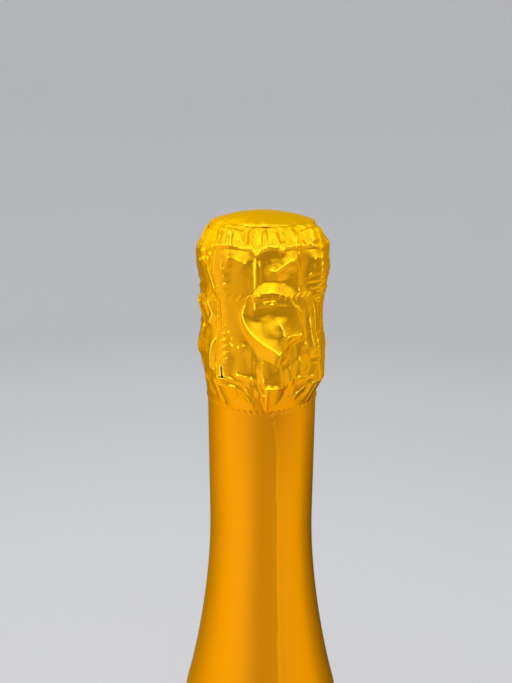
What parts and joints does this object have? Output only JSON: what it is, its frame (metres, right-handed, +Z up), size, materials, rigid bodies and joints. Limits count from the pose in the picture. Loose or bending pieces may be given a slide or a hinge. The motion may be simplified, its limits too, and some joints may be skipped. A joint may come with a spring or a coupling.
{
  "type": "champagne bottle",
  "caption": "Gold sparkling wine bottle with a punt, a mushroom cork held by a twisted wire cage and cap, and a crumpled foil capsule with a tear band over the top.",
  "frame": {"origin": "centre of the standing ring, on the surface that the bottle stands on", "axes": "+Z up along the bottle's axis; the front, with the cage's key, faces -Y; +X is to the right seen from the front"},
  "size_m": [0.088, 0.088, 0.3309],
  "materials": {
    "gold_glass": "polished",
    "gold_foil": "polished",
    "agglomerated_cork": "matte",
    "natural_cork": "matte",
    "tinplate": "gloss",
    "steel_wire": "satin"
  },
  "bodies": {
    "bottle": {"glass_bottle": "gold_glass", "neck_foil": "gold_foil"},
    "cork": {"cork_body": "agglomerated_cork", "cork_disc_upper": "natural_cork", "cork_disc_lower": "natural_cork"},
    "cage": {"cage_cap": "tinplate", "cage_wire": "steel_wire", "cage_belt": "steel_wire"},
    "key": {"cage_key": "steel_wire"},
    "band": {"tear_band": "gold_foil"},
    "hood": {"foil_hood": "gold_foil", "foil_top_disc": "gold_foil"}
  },
  "joints": [
    {"name": "cork_pull", "type": "slide", "parent": "bottle", "child": "cork", "axis": [0, 0, 1], "range_m": [0, 0.032], "deforming": ["cage_wire", "cage_belt", "tear_band"]},
    {"name": "cage_lift", "type": "slide", "parent": "cork", "child": "cage", "axis": [0, 0, 1], "range_m": [0, 0.046], "deforming": ["cage_wire", "cage_belt", "tear_band"]},
    {"name": "key_fold", "type": "hinge", "parent": "cage", "child": "key", "pos_m": [0.00272, -0.01716, 0.2904], "axis": [0.9877, 0.1564, 0], "range_deg": [0, 110], "deforming": ["tear_band"]},
    {"name": "band_lift", "type": "slide", "parent": "cage", "child": "band", "axis": [0, 0, 1], "range_m": [0, 0.052], "deforming": ["tear_band"]},
    {"name": "hood_lift", "type": "slide", "parent": "band", "child": "hood", "axis": [0, 0, 1], "range_m": [0, 0.026]}
  ]
}
